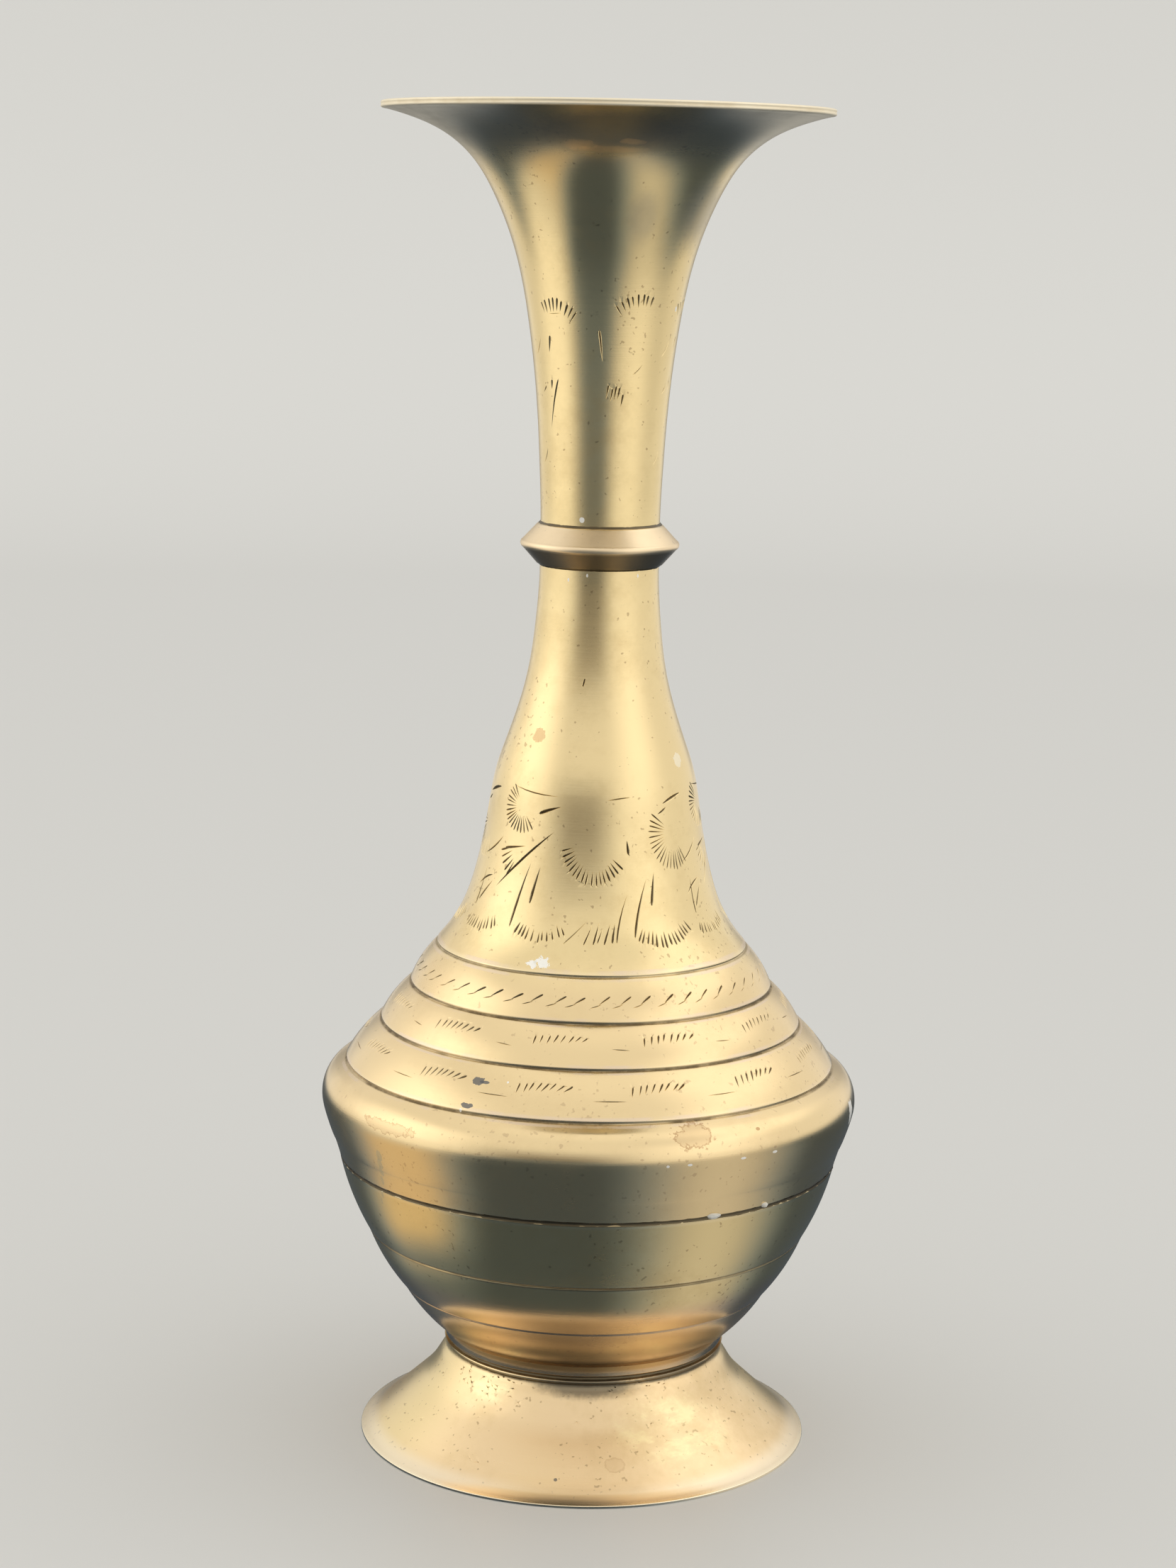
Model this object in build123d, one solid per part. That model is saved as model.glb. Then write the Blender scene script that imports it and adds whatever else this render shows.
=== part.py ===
from build123d import *
import os

# Slim brass bud vase: a flared trumpet neck and a bell-shaped, three-tiered shoulder meet inside a turned
# collar; the shoulder is brazed to a banded bowl, and the bowl to a conical foot.
# Units are millimetres. The axis of the vase is Z, and the foot's rim stands on Z = 0.
# Every outline below is drawn as (radius, height) and turned about Z.

# ---- driving dimensions ----
HEIGHT = 204.4
RIM_RADIUS = 33.6
COLLAR_RADIUS = 12.0
BELLY_RADIUS = 41.25
FOOT_RADIUS = 34.8
TUBE_RADIUS = 9.0  # both neck tubes, where they sit in the collar
WALL = 1.2
BORE_RADIUS = TUBE_RADIUS - WALL

# ---- heights of the joints and edges, from the foot up ----
FOOT_TOP = 15.0
BOWL_BASE = 15.6
SEAM_Z = 44.9
BELLY_Z = 54.2
TIER_TOP_Z = 78.1
COLLAR_LOW = 136.6
TUBE_BUTT_Z = 139.6
COLLAR_HIGH = 142.7

# ---- trumpet rim ----
RIM_LIP = 1.0  # thickness of the rolled lip
LIP_EDGE = 0.3  # how far the lip's corners are rounded in
LIP_GROOVE = 0.12  # depth of the fine groove round the lip

# ---- neck collar ----
COLLAR_LIP = 0.45  # radial width of the flat at each end of the collar
COLLAR_LIP_DROP = 0.1  # the upper flat slopes down by this much
COLLAR_EDGE_Z = TUBE_BUTT_Z + 0.1
COLLAR_EDGE_INSET = 0.35  # the edge's rounding, measured inwards
COLLAR_EDGE_BELOW = 0.65
COLLAR_EDGE_ABOVE = 0.55
BUTT_GAP = 0.1  # between the two tube ends inside the collar

# ---- groove and tiers of the shoulder ----
GROOVE_WIDTH = 0.5
GROOVE_DEPTH = 0.35
TIER_START = (24.05, TIER_TOP_Z - GROOVE_WIDTH / 2)
TIER_EDGES = ((27.75, 72.3), (32.25, 66.5), (37.55, 60.1))  # the lower edge of each tier
TIER_BULGE = 0.35
NOTCH_DEPTH = 0.45  # straight down from a tier's edge to the notch's root
NOTCH_BACK = 0.05  # the root sits this far behind the edge
NOTCH_STEP = 0.4  # the next tier starts this far outside the edge above it
NOTCH_DROP = 0.65  # and this far below it

# ---- belly seam: a spigot on the shoulder enters the bowl's mouth ----
SEAM_RADIUS = 38.5
SEAM_CHAMFER = 0.3  # each side of the groove that holds the braze
SPIGOT_RADIUS = 37.3
SPIGOT_LENGTH = 2.0
SPIGOT_WALL = 0.7
FIT_GAP = 0.05  # radial gap round a spigot

# ---- bowl ----
BAND_EDGES = ((34.05, 33.6), (28.7, 24.7))  # the turned lines round the bowl, where its bands meet
BAND_BULGE = 0.42
BAND_GROOVE_WIDTH = 0.36  # of the fine groove along each line
BAND_GROOVE_DEPTH = 0.14
BASE_TOP = (22.35, 17.4)  # upper edge of the base lip
BASE_MIDDLE = (21.95, 16.6)
BASE_EDGE_RADIUS = 21.7
FLOOR_Z = FOOT_TOP + WALL
FLOOR_RADIUS = 18.6  # flat part of the floor inside the bowl
FLOOR_CORNER = (FLOOR_RADIUS + 0.9, FLOOR_Z + 0.1)  # middle of the curve from the floor into the side

# ---- foot joint: a ring under the bowl sits inside the foot's flange ----
BOSS_RADIUS = 14.5
BOSS_WALL = 1.5
FLANGE_THICKNESS = 1.2
FLANGE_LOW = FOOT_TOP - FLANGE_THICKNESS
FLANGE_RADIUS = 20.0  # outer limit of the flange's underside
SLIT_ROOT_RADIUS = 20.9
BEAD_RADIUS = 21.6
BEAD_EDGE = 0.3  # how far the bead's corners are rounded in
BEAD_HEIGHT = 0.8
FOOT_EDGE = 0.4  # height of the foot's upright edge
FOOT_CHAMFER = 0.1
FOOT_LAND = 1.6  # radial width of the ring that the foot stands on

# ---- braze fillets ----
BRAZE_LEG = 0.3
BRAZE_RISE = 0.3  # how far a fillet climbs its tube
BRAZE_HOLLOW = 0.1  # how far a fillet's face is drawn in


def turned(outline):
    """A solid of revolution about Z from the closed outline, given as edges in (radius, height)."""
    return revolve(Plane.XZ * make_face(outline), Axis.Z)


def ring(*corners):
    """A ring whose section is the polygon with these corners."""
    return turned(Polyline(*corners, close=True))


def inset_points(edge, wall, count):
    """Points at the wall thickness inside an edge that is drawn from low to high."""
    points = []
    for step in range(count):
        place = edge @ (step / (count - 1))
        along = edge % (step / (count - 1))
        points.append((place.X - along.Y * wall, place.Y + along.X * wall))
    return points


def bulged(start, end, bulge):
    """An arc drawn downwards from start to end whose middle stands proud of the chord."""
    across = end[0] - start[0]
    along = end[1] - start[1]
    length = (across**2 + along**2) ** 0.5
    middle_radius = (start[0] + end[0]) / 2 - along / length * bulge
    middle_height = (start[1] + end[1]) / 2 + across / length * bulge
    return ThreePointArc(start, (middle_radius, middle_height), end)


def flare_outer():
    """The outside of the trumpet, from the collar up to the underside of the lip."""
    return Spline(
        (TUBE_RADIUS, COLLAR_HIGH),
        (9.2, 149.4),
        (9.85, 160.4),
        (11.25, 172.4),
        (13.6, 183.4),
        (16.6, 191.0),
        (20.1, 196.6),
        (24.6, 200.3),
        (RIM_RADIUS - 3.4, 202.6),
        (RIM_RADIUS - LIP_EDGE, HEIGHT - RIM_LIP),
        tangents=((0, 1), (1, 0.2)),
    )


def trumpet_neck():
    """The flared upper neck: a plain tube end in the collar, and a thin lip with one fine groove at the rim."""
    outer = flare_outer()
    inner = Spline(*inset_points(outer, WALL, 12)[:-1], (RIM_RADIUS - RIM_LIP, HEIGHT))
    tube_end = TUBE_BUTT_Z + BUTT_GAP
    groove = (RIM_RADIUS - LIP_GROOVE, HEIGHT - RIM_LIP / 2)
    lip_top = (RIM_RADIUS - LIP_EDGE, HEIGHT)
    outline = [
        Line((TUBE_RADIUS, tube_end), outer @ 0),
        outer,
        ThreePointArc(outer @ 1, (RIM_RADIUS, groove[1] - RIM_LIP / 4), groove),
        ThreePointArc(groove, (RIM_RADIUS, groove[1] + RIM_LIP / 4), lip_top),
        Line(lip_top, inner @ 1),
        inner,
        Line(inner @ 0, (BORE_RADIUS, tube_end)),
        Line((BORE_RADIUS, tube_end), (TUBE_RADIUS, tube_end)),
    ]
    return turned(outline)


def neck_collar():
    """The turned collar that sleeves both tube ends: two cones that meet in a rounded edge."""
    lip_radius = TUBE_RADIUS + COLLAR_LIP
    lip_high = (lip_radius, COLLAR_HIGH - COLLAR_LIP_DROP)
    edge_low = (COLLAR_RADIUS - COLLAR_EDGE_INSET, COLLAR_EDGE_Z - COLLAR_EDGE_BELOW)
    edge_high = (COLLAR_RADIUS - COLLAR_EDGE_INSET, COLLAR_EDGE_Z + COLLAR_EDGE_ABOVE)
    outline = [
        Line((TUBE_RADIUS, COLLAR_LOW), (lip_radius, COLLAR_LOW)),
        Line((lip_radius, COLLAR_LOW), edge_low),
        ThreePointArc(edge_low, (COLLAR_RADIUS, COLLAR_EDGE_Z), edge_high),
        Line(edge_high, lip_high),
        Line(lip_high, (TUBE_RADIUS, COLLAR_HIGH)),
        Line((TUBE_RADIUS, COLLAR_HIGH), (TUBE_RADIUS, COLLAR_LOW)),
    ]
    return turned(outline)


def bell_outer():
    """The outside of the lower neck and bell, from the groove above the tiers up to the collar."""
    return Spline(
        (23.75, TIER_TOP_Z + GROOVE_WIDTH / 2),
        (20.8, 82.4),
        (17.85, 90.4),
        (16.3, 98.4),
        (15.05, 105.4),
        (13.4, 110.4),
        (10.5, 120.4),
        (9.75, 125.4),
        (9.3, 130.0),
        (9.06, 133.6),
        (TUBE_RADIUS, COLLAR_LOW),
        tangents=((-0.66, 0.75), (0, 1)),
        tangent_scalars=(1, 1),
    )


def tier_edges_outline():
    """The three stepped tiers from the groove down: each a shallow arc, then an undercut notch."""
    outline = []
    start = TIER_START
    for edge in TIER_EDGES:
        root = (edge[0] - NOTCH_BACK, edge[1] - NOTCH_DEPTH)
        outline.append(bulged(start, edge, TIER_BULGE))
        start = (edge[0] + NOTCH_STEP, edge[1] - NOTCH_DROP)
        outline.append(Line(edge, root))
        outline.append(Line(root, start))
    return outline


def belly_outer(top):
    """The rounded edge of the belly, from the lowest tier's notch down to the seam."""
    return Spline(
        top,
        (39.55, 58.4),
        (40.85, 56.5),
        (BELLY_RADIUS, BELLY_Z),
        (40.85, 52.0),
        (39.7, 48.6),
        (SEAM_RADIUS, SEAM_Z + SEAM_CHAMFER),
        tangents=((0.85, -0.5), (-0.3, -1)),
    )


def belly_inner():
    """The inside of the belly, from the spigot's lower end up to the inside of the tiers."""
    return Spline(
        (SPIGOT_RADIUS - SPIGOT_WALL, SEAM_Z - SPIGOT_LENGTH),
        (38.35, 49.4),
        (39.95, 53.9),
        (39.0, 57.0),
        (36.6, 59.0),
        tangents=((0.3, 1), (-0.6, 0.8)),
    )


def shoulder_shell():
    """The lower neck, bell, tiers and belly, with a spigot below the seam that enters the bowl."""
    bell = bell_outer()
    bell_inner = Spline(*inset_points(bell, WALL, 12))
    tiers = tier_edges_outline()
    belly = belly_outer(tiers[-1] @ 1)
    inner = belly_inner()
    groove_root = (TIER_START[0] - GROOVE_DEPTH, TIER_TOP_Z - GROOVE_WIDTH / 5)
    seam_corner = (SEAM_RADIUS - SEAM_CHAMFER, SEAM_Z)
    spigot_end = (SPIGOT_RADIUS, SEAM_Z - SPIGOT_LENGTH)
    outline = [
        Line((TUBE_RADIUS, TUBE_BUTT_Z), (TUBE_RADIUS, COLLAR_LOW)),
        bell,
        Line(bell @ 0, groove_root),
        Line(groove_root, TIER_START),
        *tiers,
        belly,
        Line(belly @ 1, seam_corner),
        Line(seam_corner, (SPIGOT_RADIUS, SEAM_Z)),
        Line((SPIGOT_RADIUS, SEAM_Z), spigot_end),
        Line(spigot_end, inner @ 0),
        inner,
        Line(inner @ 1, bell_inner @ 0),
        bell_inner,
        Line(bell_inner @ 1, (BORE_RADIUS, TUBE_BUTT_Z)),
        Line((BORE_RADIUS, TUBE_BUTT_Z), (TUBE_RADIUS, TUBE_BUTT_Z)),
    ]
    return turned(outline)


def bowl_inner():
    """The inside of the bowl, from the corner of its floor up to the ledge under the spigot."""
    return Spline(
        (20.2, FLOOR_Z + 0.5),
        (24.3, 20.9),
        (27.6, 25.3),
        (32.9, 34.1),
        (SPIGOT_RADIUS - SPIGOT_WALL, SEAM_Z - SPIGOT_LENGTH),
        tangents=((0.7, 0.7), (0.3, 1)),
    )


def band_groove(above, edge, below):
    """The upper side, root and lower side of the fine groove at a band's edge, between its neighbours."""
    across = below[0] - above[0]
    along = below[1] - above[1]
    length = (across**2 + along**2) ** 0.5
    half_radius = across / length * BAND_GROOVE_WIDTH / 2
    half_height = along / length * BAND_GROOVE_WIDTH / 2
    root = (edge[0] + along / length * BAND_GROOVE_DEPTH, edge[1] - across / length * BAND_GROOVE_DEPTH)
    upper = (edge[0] - half_radius, edge[1] - half_height)
    lower = (edge[0] + half_radius, edge[1] + half_height)
    return upper, root, lower


def bowl_bands(band_top):
    """The outside of the bowl from the seam down to the base lip: three bulged bands and two grooves."""
    first_upper, first_root, first_lower = band_groove(band_top, BAND_EDGES[0], BAND_EDGES[1])
    second_upper, second_root, second_lower = band_groove(BAND_EDGES[0], BAND_EDGES[1], BASE_TOP)
    return [
        bulged(band_top, first_upper, BAND_BULGE),
        Line(first_upper, first_root),
        Line(first_root, first_lower),
        bulged(first_lower, second_upper, BAND_BULGE),
        Line(second_upper, second_root),
        Line(second_root, second_lower),
        bulged(second_lower, BASE_TOP, BAND_BULGE),
    ]


def bowl_shell():
    """The bowl: three shallow bands below the seam, a base lip, a flat floor and a register ring under it."""
    mouth = SPIGOT_RADIUS + FIT_GAP
    ledge_z = SEAM_Z - SPIGOT_LENGTH
    seam_corner = (SEAM_RADIUS - SEAM_CHAMFER, SEAM_Z)
    band_top = (SEAM_RADIUS - SEAM_CHAMFER / 3, SEAM_Z - SEAM_CHAMFER)
    boss_inner = BOSS_RADIUS - BOSS_WALL
    inner = bowl_inner()
    outline = [
        Line((mouth, SEAM_Z), seam_corner),
        Line(seam_corner, band_top),
        *bowl_bands(band_top),
        Line(BASE_TOP, BASE_MIDDLE),
        Line(BASE_MIDDLE, (BASE_EDGE_RADIUS, BOWL_BASE)),
        Line((BASE_EDGE_RADIUS, BOWL_BASE), (SLIT_ROOT_RADIUS, BOWL_BASE)),
        Line((SLIT_ROOT_RADIUS, BOWL_BASE), (SLIT_ROOT_RADIUS, FOOT_TOP)),
        Line((SLIT_ROOT_RADIUS, FOOT_TOP), (BOSS_RADIUS, FOOT_TOP)),
        Line((BOSS_RADIUS, FOOT_TOP), (BOSS_RADIUS, FLANGE_LOW)),
        Line((BOSS_RADIUS, FLANGE_LOW), (boss_inner, FLANGE_LOW)),
        Line((boss_inner, FLANGE_LOW), (boss_inner, FOOT_TOP)),
        Line((boss_inner, FOOT_TOP), (0, FOOT_TOP)),
        Line((0, FOOT_TOP), (0, FLOOR_Z)),
        Line((0, FLOOR_Z), (FLOOR_RADIUS, FLOOR_Z)),
        ThreePointArc((FLOOR_RADIUS, FLOOR_Z), FLOOR_CORNER, inner @ 0),
        inner,
        Line(inner @ 1, (mouth, ledge_z)),
        Line((mouth, ledge_z), (mouth, SEAM_Z)),
    ]
    return turned(outline)


def foot_outer():
    """The outside of the foot: a short waist under the bead, then a cone that eases out to the rim."""
    return Spline(
        (BEAD_RADIUS - BEAD_EDGE, FOOT_TOP - BEAD_HEIGHT),
        (22.0, 12.8),
        (23.7, 10.1),
        (28.1, 5.5),
        (32.0, 2.0),
        (FOOT_RADIUS, FOOT_EDGE),
        tangents=((0.1, -1), (0.95, -0.35)),
    )


def foot_inner():
    """The inside of the foot, from the ring it stands on up to the flange."""
    return Spline(
        (FOOT_RADIUS - FOOT_LAND, 0),
        (31.1, 1.3),
        (27.2, 4.75),
        (22.9, 9.1),
        (20.9, 11.8),
        (FLANGE_RADIUS, FLANGE_LOW),
        tangents=((-0.9, 0.3), (-0.3, 1)),
    )


def foot():
    """The conical foot: a flange under the bowl, a small bead round its top, and a thin rim to stand on."""
    outer = foot_outer()
    inner = foot_inner()
    socket = BOSS_RADIUS + FIT_GAP
    bead_top = (BEAD_RADIUS - BEAD_EDGE, FOOT_TOP)
    outline = [
        Line((socket, FOOT_TOP), bead_top),
        ThreePointArc(bead_top, (BEAD_RADIUS, FOOT_TOP - BEAD_HEIGHT / 2), outer @ 0),
        outer,
        Line(outer @ 1, (FOOT_RADIUS, FOOT_CHAMFER)),
        Line((FOOT_RADIUS, FOOT_CHAMFER), (FOOT_RADIUS - FOOT_CHAMFER, 0)),
        Line((FOOT_RADIUS - FOOT_CHAMFER, 0), inner @ 0),
        inner,
        Line(inner @ 1, (socket, FLANGE_LOW)),
        Line((socket, FLANGE_LOW), (socket, FOOT_TOP)),
    ]
    return turned(outline)


def collar_braze_upper():
    """The fillet of braze round the trumpet tube, on the collar's upper flat."""
    tube = flare_outer()
    climb = BRAZE_RISE / tube.length
    toe = (TUBE_RADIUS + BRAZE_LEG, COLLAR_HIGH - COLLAR_LIP_DROP * BRAZE_LEG / COLLAR_LIP)
    return turned([Line(toe, tube @ 0), tube.trim(0, climb), Line(tube @ climb, toe)])


def collar_braze_lower():
    """The fillet of braze round the lower tube, under the collar."""
    tube = bell_outer()
    climb = 1 - BRAZE_RISE / tube.length
    toe = (TUBE_RADIUS + BRAZE_LEG, COLLAR_LOW)
    return turned([Line(tube @ climb, toe), Line(toe, tube @ 1), tube.trim(climb, 1)])


def belly_seam_braze():
    """The braze in the groove between the shoulder and the bowl, a little below their surfaces."""
    low = (SEAM_RADIUS - SEAM_CHAMFER / 3, SEAM_Z - SEAM_CHAMFER)
    high = (SEAM_RADIUS, SEAM_Z + SEAM_CHAMFER)
    root = (SEAM_RADIUS - SEAM_CHAMFER, SEAM_Z)
    middle = ((low[0] + high[0]) / 2 - BRAZE_HOLLOW, SEAM_Z)
    return ring(root, low, middle, high)


def foot_braze():
    """The braze at the root of the slit between the bowl's base and the foot's flange."""
    face = SLIT_ROOT_RADIUS + BRAZE_LEG
    return ring(
        (SLIT_ROOT_RADIUS, FOOT_TOP),
        (face, FOOT_TOP),
        (face - BRAZE_HOLLOW, (FOOT_TOP + BOWL_BASE) / 2),
        (face, BOWL_BASE),
        (SLIT_ROOT_RADIUS, BOWL_BASE),
    )


PIECES = {
    "trumpet_neck": trumpet_neck,
    "neck_collar": neck_collar,
    "shoulder_shell": shoulder_shell,
    "bowl_shell": bowl_shell,
    "foot": foot,
    "collar_braze_upper": collar_braze_upper,
    "collar_braze_lower": collar_braze_lower,
    "belly_seam_braze": belly_seam_braze,
    "foot_braze": foot_braze,
}

os.makedirs("parts", exist_ok=True)
for name, build in PIECES.items():
    export_step(build(), f"parts/{name}.step")
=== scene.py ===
import math
import random
from functools import reduce

import bpy
import numpy as np
from mathutils import Matrix, Vector, noise
from mathutils.geometry import delaunay_2d_cdt


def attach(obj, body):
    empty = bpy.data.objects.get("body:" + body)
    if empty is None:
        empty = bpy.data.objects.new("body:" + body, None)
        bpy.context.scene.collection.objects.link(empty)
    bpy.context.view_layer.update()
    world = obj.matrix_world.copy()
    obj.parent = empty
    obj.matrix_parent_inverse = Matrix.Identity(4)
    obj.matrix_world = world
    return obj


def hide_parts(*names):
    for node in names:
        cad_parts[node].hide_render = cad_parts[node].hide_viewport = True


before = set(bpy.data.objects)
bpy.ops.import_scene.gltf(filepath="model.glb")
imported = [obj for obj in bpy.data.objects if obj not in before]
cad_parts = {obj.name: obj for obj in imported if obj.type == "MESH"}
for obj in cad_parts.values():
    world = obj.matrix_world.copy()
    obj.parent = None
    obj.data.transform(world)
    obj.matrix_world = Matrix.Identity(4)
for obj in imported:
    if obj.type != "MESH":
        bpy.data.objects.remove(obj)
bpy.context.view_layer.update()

# A slim engraved brass bud vase, turned about Z. Lengths are millimetres until a mesh, a material or an
# object is made, and angles round the vase are degrees from the front (-Y), positive towards +X.

MM = 0.001
COLUMNS = 288  # vertices round each turned piece
ROW_STEP = 1.0  # longest step between two rows of a turned piece
ROW_TURN = 5.0  # most degrees that a row turns from the one before it
CORNER_TURN = 22.0  # a sharper turn than this is a corner of the outline
SHARP_TURN = 60.0  # a corner as sharp as this is worn, or dirty, in full
ROUNDING = 0.14  # how far a corner is worn back along each side
ROUND_SHARE = 0.35  # most of the way to the next corner that a rounding may take
WEAR_REACH = 0.45  # how far the bright wear spreads from an edge
DIRT_REACH = 0.4  # how far dirt spreads out of a corner
GRAVER_SLOPE = 0.8  # depth of a graver's cut over its half width
FULL_CUT = 0.12  # the depth at which a cut counts in full
SEAM_ROOM = 0.06  # between a cut and the column where its band is opened flat
TINY = 1e-4  # shorter than any real length on the vase
ON_AXIS = 1e-3  # a smaller radius than this is a point on the axis
REPEATS = 3  # of the engraved patterns round the bell and the neck


def turned(out, up, angle):
    """Places or directions (out, up) turned round the axis: angle 0 is the front, -Y, and + is to +X."""
    return np.stack([out * np.sin(angle), -out * np.cos(angle), up], axis=-1)


def placed(name, data):
    """A new object in the scene, at the origin."""
    made = bpy.data.objects.new(name, data)
    bpy.context.scene.collection.objects.link(made)
    return made


# ---- outlines

def meridian(node):
    """A turned CAD node's outline as ordered (radius, height) points, with the metal on the left."""
    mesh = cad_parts[node].data
    place = {}
    for vertex in mesh.vertices:
        x, y, z = vertex.co / MM
        if abs(y) < TINY and x > -TINY:
            place[vertex.index] = (round(x, 3), round(z, 3))
    links = {}
    for edge in mesh.edges:
        a, b = (place.get(i) for i in edge.vertices)
        if a and b and a != b:
            links.setdefault(a, set()).add(b)
            links.setdefault(b, set()).add(a)
    ends = [point for point, near in links.items() if len(near) == 1]
    path = [min(ends or links)]
    while True:
        onward = [p for p in links[path[-1]] if p not in path[-2:] and p != path[0]]
        if not onward:
            break
        path.append(onward[0])
    points = np.array(path)
    following = np.roll(points, -1, axis=0)
    area = np.sum(points[:, 0] * following[:, 1] - following[:, 0] * points[:, 1])
    return (points if area > 0 else points[::-1]), not ends


def turns(points, closed):
    """How far the outline turns at each point, in degrees, positive round a convex corner."""
    before = points - np.roll(points, 1, axis=0)
    after = np.roll(points, -1, axis=0) - points
    cross = before[:, 0] * after[:, 1] - before[:, 1] * after[:, 0]
    dot = np.sum(before * after, axis=1)
    angle = np.degrees(np.arctan2(cross, dot))
    if not closed:
        angle[[0, -1]] = 0
    return angle


def curve_points(p, q, r, s, count):
    """Points after q and up to r on the smooth curve through p, q, r and s."""
    made = []
    for i in range(1, count + 1):
        t = i / count
        made.append(
            0.5 * (2 * q + (r - p) * t + (2 * p - 5 * q + 4 * r - s) * t**2 + (3 * q - p - 3 * r + s) * t**3)
        )
    return made


def refined(points, closed, step):
    """The outline with its smooth stretches filled in; also the corner turn at each point, or 0."""
    angle = turns(points, closed)
    corner = np.abs(angle) > CORNER_TURN
    n = len(points)
    fine, turn = [points[0]], [angle[0] if corner[0] else 0.0]
    for i in range(n if closed else n - 1):
        j = (i + 1) % n
        q, r = points[i], points[j]
        p = 2 * q - r if corner[i] or (i == 0 and not closed) else points[i - 1]
        s = 2 * r - q if corner[j] or (j == n - 1 and not closed) else points[(j + 1) % n]
        bend = max(0 if corner[i] else abs(angle[i]), 0 if corner[j] else abs(angle[j]))
        count = max(math.ceil(np.linalg.norm(r - q) / step), math.ceil(bend / ROW_TURN))
        made = curve_points(p, q, r, s, count)
        if closed and j == 0:
            made = made[:-1]
        fine.extend(made)
        turn.extend([0.0] * len(made))
        if j != 0:
            turn[-1] = angle[j] if corner[j] else 0.0
    return np.array(fine), np.array(turn)


def walk(points, length, place):
    """The point at a distance along a closed outline, wrapping past its ends."""
    wrapped = np.vstack([points, points[:1]])
    return np.array([np.interp(place % length[-1], length, wrapped[:, k]) for k in (0, 1)])


def rounded(points, turn, closed, rounding):
    """The outline with each corner worn to a small round; also the corner turn at each point, or 0."""
    slack = 1.02  # a point this close to the end of a round belongs to it
    loop = np.vstack([points, points[:1]])
    length = np.concatenate([[0], np.cumsum(np.linalg.norm(np.diff(loop, axis=0), axis=1))])
    total = length[-1]
    corners = [i for i in range(len(points)) if turn[i]]
    cuts = []
    for k, i in enumerate(corners):
        gap_back = (length[i] - length[corners[k - 1]]) % total or total
        gap_on = (length[corners[(k + 1) % len(corners)]] - length[i]) % total or total
        cuts.append((i, length[i], min(rounding, ROUND_SHARE * gap_back, ROUND_SHARE * gap_on)))
    made = []
    for i in range(len(points)):
        near = [c for c in cuts if min(abs(length[i] - c[1]), total - abs(length[i] - c[1])) <= c[2] * slack]
        if not near:
            made.append((points[i], 0.0))
            continue
        for index, place, cut in near:
            if index != i:
                continue
            a, b = walk(points, length, place - cut), walk(points, length, place + cut)
            for t in (0, 0.25, 0.5, 0.75, 1):
                round_point = (1 - t) ** 2 * a + 2 * t * (1 - t) * points[i] + t**2 * b
                made.append((round_point, turn[i] if t == 0.5 else 0.0))
    return tuple(np.array(column) for column in zip(*made))


class Outline:
    """The rows of a turned piece: radius, height, normal, distance along the outline, wear and dirt."""

    def __init__(self, node, step=ROW_STEP, rounding=ROUNDING):
        points, self.closed = meridian(node)
        points, turn = refined(points, self.closed, step)
        points, turn = rounded(points, turn, self.closed, rounding)
        self.points = points
        along = np.roll(points, -1, axis=0) - points
        if not self.closed:
            along[-1] = along[-2]
        back = np.roll(along, 1, axis=0)
        if not self.closed:
            back[0] = along[0]
        tangent = along * np.linalg.norm(along, axis=1)[:, None]
        tangent += back * np.linalg.norm(back, axis=1)[:, None]
        tangent /= np.linalg.norm(tangent, axis=1)[:, None]
        self.normals = np.stack([tangent[:, 1], -tangent[:, 0]], axis=1)
        steps = np.linalg.norm(np.diff(points, axis=0), axis=1)
        self.places = np.concatenate([[0], np.cumsum(steps)])
        self.wear = self.spread(np.maximum(turn, 0), WEAR_REACH)
        self.dirt = self.spread(np.maximum(-turn, 0), DIRT_REACH)

    def spread(self, turn, reach):
        """A value that falls away from each corner, as strong as the corner is sharp."""
        value = np.zeros(len(self.points))
        for i in np.flatnonzero(turn):
            distance = np.linalg.norm(self.points - self.points[i], axis=1)
            value = np.maximum(value, min(turn[i] / SHARP_TURN, 1) * np.exp(-((distance / reach) ** 2)))
        return value

    def outer_row(self, height):
        """The row on the outside of the piece that is nearest to a height; of two, the outer one."""
        outward, tie_break, never = 0.02, 0.001, 1e6
        facing = self.normals[:, 0] > outward
        score = np.abs(self.points[:, 1] - height) - self.points[:, 0] * tie_break + (~facing) * never
        return int(np.argmin(score))

    def surface_point(self, angle, height):
        """The point (x, y, z) on the outside of the piece at an angle and a height."""
        return turned(self.points[self.outer_row(height), 0], height, math.radians(angle))


# ---- graver's cuts

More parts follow.
